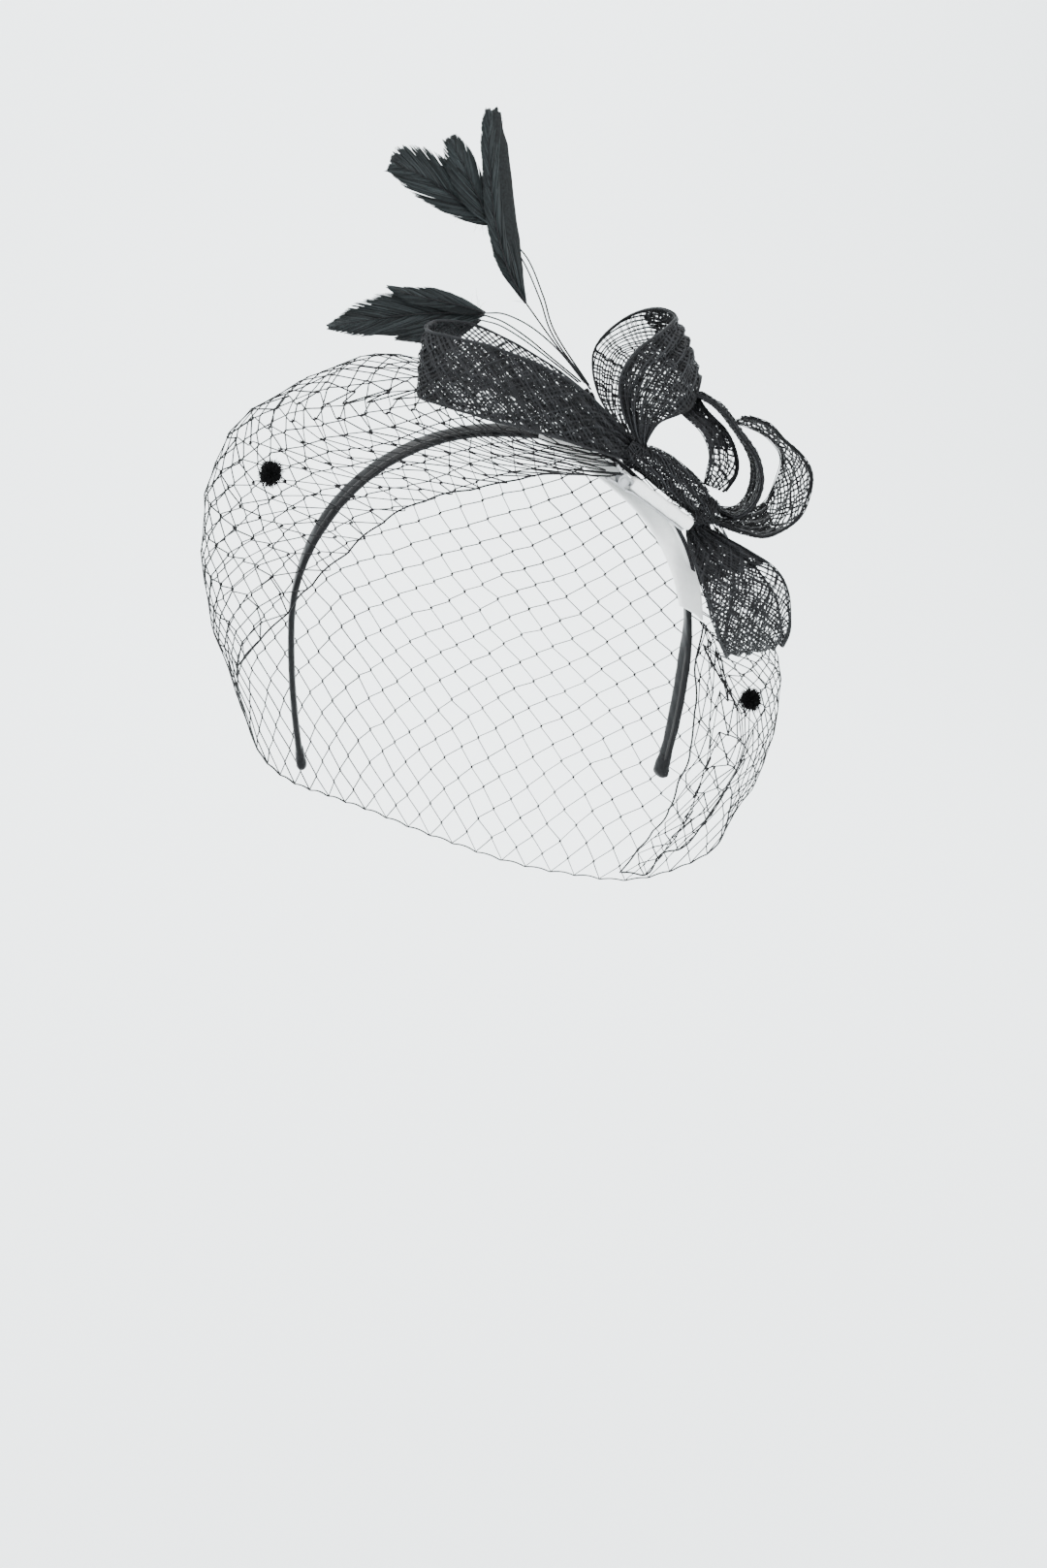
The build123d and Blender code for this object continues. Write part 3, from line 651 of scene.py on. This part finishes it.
def build_bow_centre():
    """The pleated knot and gather, the rolled arm between them, and their wound thread."""
    heading = unit(GATHER - KNOT)
    rolled("knot_cloth", [KNOT + heading * reach for reach in (-4.4, -1.5, 1.5, 4.0)],
           [3.4, 4.9, 4.9, 4.2], "knot_wrap", 21, 0.8, 7)
    rolled("gather_cloth", [GATHER + heading * reach for reach in (-4.0, -1.5, 1.5, 4.2)],
           [4.2, 4.8, 4.7, 3.6], "gather_wrap", 22, 0.7, 6)
    off_head = np.array([-heading[2], 0, heading[0]]) * 1.4
    rolled("arm_cloth", [KNOT + heading * 3.4 + off_head * 0.5, KNOT + heading * 10 + off_head,
                         GATHER - heading * 10 + off_head, GATHER - heading * 3.4 + off_head * 0.5],
           [4.8, 5.7, 5.7, 4.9], "arm_roll", 23, 1.6, 5)
    winding("knot_thread", KNOT, heading, 4.75, 8, 3.6, "knot_binding", 31)
    winding("gather_thread", GATHER, heading, 4.75, 7, 3.2, "gather_binding", 32)


# ---- comfort strip ----

STRIP_START, STRIP_SWEEP = 9, 75  # degrees
STRIP_SLANT = 7  # degrees that its inner edge stops short
STRIP_FLARE = 3.7


def build_comfort_strip():
    """A felt strip, cut off at a slant, that leans from the band's rear edge in over the head."""
    share = np.linspace(0, 1, 140)[:, None]
    across = np.linspace(0, 1, 9)[None]
    angle = np.radians(STRIP_START + share * (STRIP_SWEEP - STRIP_SLANT * across))
    width = 0.22 + 0.78 * np.sin(np.pi / 2 * np.clip(share / 0.42, 0, 1)) ** 0.9
    front, rear = (-4.9, 76.8), (-13.3, 70.5)  # y, and distance from the band's centre
    wave = 0.25 * np.sin(share * 17) + 0.12 * np.sin(share * 41 + 1)
    flare = STRIP_FLARE * np.clip((np.degrees(angle) - 35) / 25, 0, 1) * (1 - across)
    y = front[0] + (rear[0] - front[0]) * across * width + wave * across
    r = front[1] + (rear[1] - front[1]) * across * width + 0.3 * np.sin(np.pi * across) + flare
    points = np.stack([r * np.sin(angle), y, r * np.cos(angle)], -1)
    normals = unit(np.cross(np.gradient(points, axis=0), np.gradient(points, axis=1)))
    piece = plate("comfort_strip_felt", points, normals, 0.8, FELT)
    place(piece, "felt_white", "comfort_strip")


# ---- clip ----

SLEEVE_START = 3.4
SLEEVE_RISE = 1.5
SLEEVE_POWERS = (0.55, 0.62)  # how box-like its section is, across and off the head


def clip_point(reach, side, rise):
    """A point in the clip's own frame: along the jaw, across it, and off the head."""
    along = np.array([math.cos(CLIP_SLOPE), 0, -math.sin(CLIP_SLOPE)])
    off = np.array([math.sin(CLIP_SLOPE), 0, math.cos(CLIP_SLOPE)])
    reach, side, rise = (np.asarray(v, float)[..., None] for v in (reach, side, rise))
    return CLIP_HINGE + along * reach + FORWARD * side + off * rise


def build_clip():
    """The felt sleeve of the fixed jaw, with a lapped seam and fuzz."""
    rng = default_rng(41)
    angle = np.linspace(0, TURN, 48, endpoint=False)
    lap = 0.35 * np.exp(-((angle - 4.0) / 0.12) ** 2)
    rings = []
    for reach in np.linspace(SLEEVE_START, CLIP_REACH, 60):
        share = (reach - SLEEVE_START) / (CLIP_REACH - SLEEVE_START)
        end = min(1.0, (share + 0.004) * 22, (1.004 - share) * 22) ** 0.5
        half_wide = (4.7 + 0.18 * math.sin(reach * 0.7)) * (0.86 + 0.14 * end)
        half_high = (2.35 + 0.12 * math.sin(reach * 0.9 + 1)) * (0.75 + 0.25 * end)
        w = squared(np.cos(angle), SLEEVE_POWERS[0]) * half_wide
        h = squared(np.sin(angle), SLEEVE_POWERS[1]) * half_high
        h = h + 0.06 * np.sin(5 * angle + reach * 0.8) + lap
        rings.append(clip_point(np.full_like(w, reach), w, h + SLEEVE_RISE))
    place(skin("clip_felt", rings, FELT), "felt_white", "clip_felt_sleeve")

    fuzz = Strands(3)
    for _ in range(900):
        a = rng.uniform(0, TURN)
        reach = rng.uniform(3.8, CLIP_REACH - 0.3)
        w = squared(np.cos(a), SLEEVE_POWERS[0]) * 4.6
        h = squared(np.sin(a), SLEEVE_POWERS[1]) * 2.25 + SLEEVE_RISE
        root = clip_point(reach, w, h)
        out = unit(root - clip_point(reach, w * 0.5, SLEEVE_RISE))
        lean = rng.normal(0, 1, 3)
        tip = root + out * rng.uniform(0.2, 0.7) + lean * 0.25
        middle = (root + tip) / 2 + rng.normal(0, 0.12, 3)
        fuzz.add(smooth([root, middle, tip], 2), 0.025)
    place(fuzz.build("clip_felt_fuzz", FELT), "felt_white")


# ---- feathers ----

# depth is how far forward a feather lies, lean its barbs' angle in degrees, fluff how loose they
# are, and web how much of each side the web fills. left and right are its half widths, foot to tip.
FEATHERS = {
    "tall_feather": dict(
        body="upper_spray", depth=2.0, seed=51, barbs=430, lean=15, fluff=0.1, web=(0.88, 0.8),
        rachis=[(5, 121), (-2, 132), (-7.5, 147), (-10.5, 163), (-12, 176), (-11.3, 184.5)],
        left=[0.5, 1.9, 2.4, 2.4, 2.2, 2.2, 1.6], right=[0.6, 6.4, 9.2, 9.8, 9.6, 8.8, 4.2],
        stem=[(31, 92), (17, 107), (5, 121)]),
    "middle_feather": dict(
        body="upper_spray", depth=4.5, seed=53, barbs=260, lean=17, fluff=0.45, web=(0.72, 0.72),
        rachis=[(-9, 147), (-13, 154), (-17, 161), (-21, 168), (-25, 174.5)],
        left=[0.8, 4.4, 5.8, 5.8, 5.0, 2.6], right=[0.8, 2.8, 4.0, 4.6, 4.4, 2.4],
        stem=[(30.5, 93), (16, 110), (10, 123), (2, 137), (-9, 147)]),
    "wide_feather": dict(
        body="upper_spray", depth=7.0, seed=57, barbs=380, lean=20, fluff=0.5, web=(0.42, 0.78),
        rachis=[(-9, 147), (-17, 152), (-26, 157.5), (-35, 162), (-45, 165)],
        left=[1.0, 4.2, 6.2, 7.2, 7.0, 4.4], right=[1.0, 6.0, 8.2, 8.4, 7.2, 4.4],
        stem=[(31, 93), (17, 111), (11.5, 124), (4, 137.5), (-9, 147)]),
    "side_upper_feather": dict(
        body="side_spray", depth=14.0, seed=61, barbs=280, lean=14, fluff=0.12, web=(0.8, 0.85),
        rachis=[(-8, 116), (-17, 118), (-27, 119.5), (-36, 121), (-44, 123)],
        left=[0.5, 2.6, 3.4, 3.4, 2.6, 0.5], right=[0.5, 2.4, 3.0, 3.2, 2.4, 0.5],
        stem=[(30.5, 93), (20, 104), (9, 112), (-1, 116), (-8, 116)]),
    "side_long_feather": dict(
        body="side_spray", depth=16.5, seed=67, barbs=430, lean=17, fluff=0.2, web=(0.8, 0.85),
        rachis=[(-8, 115), (-22, 115), (-36, 113.5), (-50, 111), (-65, 107.5)],
        left=[0.6, 6.6, 9.0, 8.8, 6.0, 0.9], right=[0.6, 4.8, 6.6, 6.8, 5.4, 0.9],
        stem=[(29.5, 93), (18, 101), (8, 108), (-1, 113), (-8, 115)]),
    "side_lower_feather": dict(
        body="side_spray", depth=19.0, seed=71, barbs=260, lean=16, fluff=0.2, web=(0.8, 0.85),
        rachis=[(-9, 113), (-18, 110), (-29, 107), (-40, 104.5)],
        left=[0.5, 4.2, 4.4, 2.6, 0.6], right=[0.5, 2.8, 3.4, 2.6, 0.6],
        stem=[(29, 92.5), (18, 100), (7, 107), (-2, 111.5), (-9, 113)]),
}
BARB_POINTS = 7
BARB_HALF_WIDTH = 0.25
CUP = 1.4  # how far the vane's edges curl forward
WEB_THICKNESS = 0.06
WEB_OFFSET = 0.35


def barb_reach(start, length, lean, widths):
    """How far a barb that leaves the shaft here runs before it meets the vane's outline."""
    ahead = np.linspace(0.4, min(30.0, length - start + 0.6), 60)
    edge = profile((start + ahead) / length, widths)
    outside = np.nonzero(ahead * math.tan(lean) >= edge)[0]
    return ahead[outside[0] if len(outside) else -1] / math.cos(lean)


def add_barbs(vane, shape, shaft_point, length, sign, widths, rng):
    """One side of a vane: barbs whose lean changes from one clump of them to the next."""
    t = np.linspace(0, 1, BARB_POINTS)
    clump_turn, clump_left = 0.0, 0
    for k in range(shape["barbs"]):
        if clump_left <= 0:
            clump_left = int(rng.integers(8, 30))
            clump_turn = rng.normal(0, 0.006 + 0.035 * shape["fluff"])
        clump_left -= 1
        s = max((k + rng.uniform(-0.3, 0.3)) / shape["barbs"] * 0.985 * length, 0.0)
        root, head = shaft_point(s)
        out = np.cross(head, FORWARD) * sign
        loose = shape["fluff"] * math.exp(-6 * s / length)
        lean = min(math.radians(shape["lean"]) + clump_turn + 0.7 * loose, 1.0)
        lean = max(lean, 0.12)
        reach = barb_reach(s, length, lean * 0.86, widths) * rng.uniform(0.9, 1.04)
        curl = lean * (1.14 - 0.42 * t[1:])[:, None]
        local = np.zeros((BARB_POINTS, 3))
        steps = (head * np.cos(curl) + out * np.sin(curl)) * reach / (BARB_POINTS - 1)
        local[1:] = np.cumsum(steps, 0)
        lift = rng.normal(0, 0.07) + t**2 * (CUP + rng.normal(0, 0.15))
        path = root + local + FORWARD * lift[:, None]
        path += rng.normal(0, 0.1 * loose + 0.01, (BARB_POINTS, 3)) * t[:, None]
        wide = BARB_HALF_WIDTH * (1 - 0.75 * t**2.2) * rng.uniform(0.85, 1.2)
        vane.add(path, wide, np.broadcast_to(FORWARD, path.shape), flat=0.2)


def add_fluff(vane, shape, shaft_point, length, rng):
    """Loose down at the foot of a vane."""
    t = np.linspace(0, 1, BARB_POINTS)
    for _ in range(int(90 * shape["fluff"])):
        root, head = shaft_point(rng.uniform(0, 0.25) * length)
        way = np.cross(head, FORWARD) * rng.choice([-1, 1])
        way = unit(head * rng.uniform(-0.2, 1) + way + rng.normal(0, 0.3, 3))
        path = root + way * (rng.uniform(2.5, 6.5) * t)[:, None]
        path += rng.normal(0, 1.0, 3) * (t**2)[:, None]
        path[:, 1] = np.clip(path[:, 1], shape["depth"] - 1.3, shape["depth"] + 1.3)
        vane.add(path, 0.06 * (1 - 0.6 * t))


def feather(name, shape):
    """A feather of separate barbs on a tapered shaft, over a thin web that closes the gaps."""
    rng = default_rng(shape["seed"])
    body = shape["body"]
    rachis = smooth([(x, shape["depth"], z) for x, z in shape["rachis"]], 16)
    along = lengths(rachis)
    length = along[-1]
    tangent = unit(np.gradient(rachis, axis=0))

    def shaft_point(s):
        return at(rachis, along, s), unit(at(tangent, along, s))

    vane = Strands(3)
    edges = []
    for sign, widths, cover in zip((1, -1), (shape["left"], shape["right"]), shape["web"]):
        reach = profile(along / length, widths) * cover
        edges.append(rachis + np.cross(tangent, FORWARD) * (sign * reach)[:, None])
        add_barbs(vane, shape, shaft_point, length, sign, widths, rng)
    add_fluff(vane, shape, shaft_point, length, rng)
    place(vane.build(name + "_barbs", FEATHER), "feather_black", name + "_vane", body=body)

    mix = np.linspace(0, 1, 9)[None, :, None]
    web = edges[0][:, None] * (1 - mix) + edges[1][:, None] * mix
    web = web + FORWARD * (0.64 * CUP * (2 * mix - 1) ** 2 + WEB_OFFSET)
    normals = np.broadcast_to(FORWARD, web.shape)
    place(plate(name + "_web", web, normals, WEB_THICKNESS, WEB), "feather_black", body=body)

    stem = smooth([(x, shape["depth"] - 0.4, z) for x, z in shape["stem"]], 12)
    shaft = evenly(np.concatenate([stem[:-1], rachis[:-4] - FORWARD * 0.35]), 1.2)
    quill = Strands(8)
    share = np.linspace(0, 1, len(shaft))
    quill.add(shaft, np.interp(share, [0, 0.5, 1], [0.36, 0.3, 0.08]))
    place(quill.build(name + "_shaft", QUILL), "quill_black", name + "_quill", body=body)


STALKS = {
    # node: where its foot stands on the base's arc in degrees, how far forward, its top, and seed
    "upper_spray_stalk": (31.0, 3.0, (31.0, 5.0, 90.4), 75),
    "side_spray_stalk": (36.0, 5.5, (31.0, 15.0, 90.4), 76),
}
STALK_THREAD_PITCH = 0.62
STALK_CORE_RADIUS = 1.3


def build_stalks():
    """Sewing thread wound down each spray's stalk, around the CAD stalk's own line."""
    for node, (degrees, depth, top, seed) in STALKS.items():
        rng = default_rng(seed)
        turn = math.radians(degrees)
        foot = np.array([STALK_FOOT_RADIUS * math.sin(turn), depth,
                         STALK_FOOT_RADIUS * math.cos(turn)])
        top = np.array(top)
        heading = unit(top - foot)
        reach = norm(top - foot)
        turns = int(reach / STALK_THREAD_PITCH)
        angle = np.linspace(0, TURN * turns, turns * 14)
        share = angle / angle[-1]
        radius = 1.42 - 0.25 * share + 0.05 * np.sin(angle * 0.21)
        radius = radius + rng.normal(0, 0.01, len(angle))
        path = foot + heading * (share * (reach - 0.6) + 0.3)[:, None]
        strands = Strands(4)
        strands.add(path + around(heading, angle, radius), WOUND_RADIUS)
        strands.add(evenly(np.array([foot, top]), 2.0), STALK_CORE_RADIUS)
        place(strands.build(node + "_thread", THREAD), "thread_black", node)


# ---- veil ----

CELL_WIDTH = 13.5
CELL_SIDE = 9.8
KNOT_GAP = 0.42
KNOT_HALF_LENGTH = 0.8
NET_RADIUS = 0.25
WINDING_RADIUS = 0.13
SIDE_SCALLOP = 17.0


def ripple(point):
    """A gentle uneven waviness for the net."""
    x, y, z = point
    return 0.9 * np.array([
        math.sin(0.11 * y + 0.07 * z) + 0.5 * math.sin(0.23 * z),
        math.sin(0.09 * x + 0.12 * z + 1.7) + 0.5 * math.sin(0.21 * x - 0.1 * z),
        math.sin(0.10 * x - 0.08 * y + 3.1) + 0.5 * math.sin(0.19 * y + 0.11 * x)])


def scallop(where, every):
    """How far the net's edge is drawn in here, between its scallops."""
    return 0.9 * np.abs(np.sin(np.pi * where / every))


class Veil:
    """The draped surface of the net. across is a distance along it and down one from its edge."""

    def __init__(self):
        rows = np.array([smooth([root, *row], 14) for root, row in zip(VEIL_ROOTS, VEIL_ROWS)])
        self.lines = [(line[::-1], lengths(line[::-1])) for line in smooth(rows, 12)]
        self.reach = np.array([along[-1] for _, along in self.lines])
        edge = np.array([at(line, along, min(35.0, along[-1] * 0.6)) for line, along in self.lines])
        self.spread = lengths(edge)
        self.width = self.spread[-1]

    def line_at(self, across):
        """Which line lies this far across, as a number that falls between two of them."""
        return np.interp(across, self.spread, np.arange(len(self.lines)))

    def depth(self, across):
        """How far the net reaches in from its free edge here."""
        return float(np.interp(self.line_at(across), np.arange(len(self.lines)), self.reach))

    def point(self, across, down):
        """The point this far across the net and this far in from its free edge."""
        number = self.line_at(across)
        low = min(int(number), len(self.lines) - 2)
        share = number - low
        return at(*self.lines[low], down) * (1 - share) + at(*self.lines[low + 1], down) * share

    def stretch(self, across, beside, down):
        """How far apart two points at the same depth are."""
        return float(norm(self.point(beside, down) - self.point(across, down)))

    def rippled(self, across, down):
        """A point of the net with its waviness, kept within the net's edges."""
        spot = self.point(min(max(across, 0), self.width), max(down, 0))
        return spot + ripple(spot) * min(1.0, down / 25 + 0.25)


def place_knots(veil, halves, half_cell, rng):
    """Where the knots lie across the net and down it, and how many rows each half column has."""
    rows = []
    for half in range(halves + 1):
        across = half * half_cell
        other = across + (half_cell if half < halves else -half_cell)
        depths = [0.0]
        while depths[-1] < veil.depth(across):
            gap = min(veil.stretch(across, other, depths[-1]), CELL_SIDE * 0.9)
            depths.append(depths[-1] + math.sqrt(CELL_SIDE**2 - gap**2))
        rows.append(depths)
    knots = {}
    for half, depths in enumerate(rows):
        for row, depth in enumerate(depths):
            if (half + row) % 2 == 0:
                slide, drop = rng.normal(0, 0.3, 2)
                knots[half, row] = (half * half_cell + slide, depth + (drop if row else 0))
    return knots, [len(depths) for depths in rows]


def add_zigzags(threads, veil, knots, counts, half_cell, rng):
    """Threads that run down the net from knot to knot, between two half columns each."""
    for first in range(len(counts) - 1):
        path = []
        for row in range(min(counts[first], counts[first + 1])):
            half = first if (first + row) % 2 == 0 else first + 1
            across, depth = knots[half, row]
            limit = veil.depth(across)
            if depth > limit:
                break
            scale = max(veil.stretch(across, across + 0.5, depth) * 2, 0.05)
            side = (1 if half == first else -1) * min(KNOT_GAP / scale, half_cell * 0.45)
            for lead in (-KNOT_HALF_LENGTH, KNOT_HALF_LENGTH):
                path.append(veil.rippled(across + side, min(depth + lead, limit)))
        if len(path) > 2:
            threads.add(smooth(path, 2), NET_RADIUS * rng.uniform(0.9, 1.1))


def add_windings(windings, veil, knots, halves):
    """A short coil round each knot that isn't on an edge or under the bow."""
    turns = np.linspace(0, 4 * np.pi, 14)
    for (half, row), (across, depth) in knots.items():
        if not 0 < half < halves or row == 0 or depth > veil.depth(across) - 4:
            continue
        centre = veil.rippled(across, depth)
        side = unit(veil.rippled(across + 0.6, depth) - veil.rippled(across - 0.6, depth))
        run = unit(veil.rippled(across, depth + 0.6) - veil.rippled(across, depth - 0.6))
        rise = np.cross(side, run)
        coil = (side * (np.cos(turns) * 0.62)[:, None] + rise * (np.sin(turns) * 0.3)[:, None]
                + run * ((turns / turns[-1] - 0.5) * 0.7)[:, None])
        windings.add(centre + coil, WINDING_RADIUS)


def build_veil():
    """A net of zigzag threads that meet at wound knots, with a heavier thread round its edge."""
    veil = Veil()
    rng = default_rng(81)
    columns = int(round(veil.width / CELL_WIDTH))
    half_cell = veil.width / columns / 2
    halves = 2 * columns
    threads, windings = Strands(4), Strands(3)
    knots, counts = place_knots(veil, halves, half_cell, rng)
    add_zigzags(threads, veil, knots, counts, half_cell, rng)
    add_windings(windings, veil, knots, halves)

    free = np.arange(0, veil.width, 1.2)
    edges = [[veil.rippled(a, d) for a, d in zip(free, scallop(free, 2 * half_cell))]]
    for across, inward in ((0.0, 1), (veil.width, -1)):
        reach = np.arange(0, veil.depth(across), 1.5)
        edges.append([veil.rippled(across + inward * b, d)
                      for d, b in zip(reach, scallop(reach, SIDE_SCALLOP))])
    for edge in edges:
        threads.add(np.array(edge), NET_RADIUS * 1.5)
    place(threads.build("veil_netting", NET), "net_black", "veil_net")
    place(windings.build("veil_knots", NET), "net_black")


def build_dots():
    """Two fluffy, slightly lumpy balls of chenille pile."""
    for node, seed in (("veil_dot_left", 91), ("veil_dot_right", 92)):
        low, high = (np.array(corner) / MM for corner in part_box(node))
        centre = (low + high) / 2
        rng = default_rng(seed)
        lumps = unit(rng.normal(0, 1, (7, 3)))
        tuft = Strands(3)
        for _ in range(1900):
            way = unit(rng.normal(0, 1, 3))
            lump = float(np.max(lumps @ way)) ** 6
            reach = rng.uniform(3.4, 4.8) * (0.88 + 0.34 * lump)
            root = centre + way * rng.uniform(0.0, 1.2)
            tip = centre + way * reach + rng.normal(0, 0.4, 3)
            middle = (root + tip) / 2 + rng.normal(0, 0.25, 3)
            tuft.add(smooth([root, middle, tip], 2), np.array([0.1, 0.1, 0.09, 0.08, 0.06]))
        place(tuft.build(node + "_pile", CHENILLE), "chenille_black", node)


# ---- studio ----

PAPER = (0.93, 0.965, 0.97)
# The sweep's profile as (y, z), in metres, from in front of the part to behind it.
SWEEP = [(-1.6, -0.42), (1.2, -0.42), (1.75, -0.34), (2.1, -0.05), (2.2, 0.5), (2.2, 2.2)]
LAMPS = {
    # name: where it hangs and what it points at, in metres, its size in metres and its power
    "key": ((-1.1, -0.9, 1.3), (0, 0, 0), 1.4, 36),
    "fill": ((1.3, -0.8, 0.7), (0, 0, 0), 1.4, 20),
    "top": ((0.0, 0.5, 1.7), (0, 0, 0), 1.8, 30),
    "wall": ((0.0, 1.1, 1.5), (0, 2.2, 0.4), 2.0, 60),
}
CAMERA_SPOT = (-0.079, -0.6241, 0.1636)
CAMERA_FORWARD = (0.142, 0.931, -0.336)
CAMERA_UP = (-0.02, 0.342, 0.94)


def build_studio():
    """A pale seamless sweep, soft lights, and the camera behind the wearer's left shoulder."""
    curve = smooth([(0.0, y, z) for y, z in SWEEP], 10)
    sides = np.linspace(-2.6, 2.6, 3)
    points = np.array([[(x, y, z) for x in sides] for _, y, z in curve]) / MM
    faces = grid_faces(len(curve), len(sides))
    darker = tuple(c * 0.985 for c in PAPER)
    paper = textured("studio_paper", PAPER, 0.9, darker, PAPER, (1.2,))
    make_object("studio_sweep", points.reshape(-1, 3), faces, paper)

    world = bpy.data.worlds.new("studio")
    world.use_nodes = True
    fill(world.node_tree.nodes["Background"], Color=(0.93, 0.97, 1.0, 1), Strength=2.0)
    bpy.context.scene.world = world

    for name, (spot, target, size, power) in LAMPS.items():
        lamp = bpy.data.lights.new(name, "AREA")
        lamp.size = size
        lamp.energy = power
        holder = add_object(name, lamp)
        holder.location = spot
        heading = Vector(target) - holder.location
        holder.rotation_euler = heading.to_track_quat("-Z", "Y").to_euler()

    camera_data = bpy.data.cameras.new("camera")
    camera_data.lens = 38.96
    camera_data.clip_start = 0.02
    camera = add_object("camera", camera_data)
    forward = Vector(CAMERA_FORWARD).normalized()
    right = forward.cross(Vector(CAMERA_UP)).normalized()
    up = right.cross(forward)
    turn = Matrix((right, up, -forward)).transposed().to_4x4()
    camera.matrix_world = Matrix.Translation(Vector(CAMERA_SPOT)) @ turn
    bpy.context.scene.camera = camera


build_studio()
build_headband()
build_comfort_strip()
build_clip()
build_loops()
build_bow_centre()
for feather_name, feather_shape in FEATHERS.items():
    feather(feather_name, feather_shape)
build_stalks()
build_veil()
build_dots()
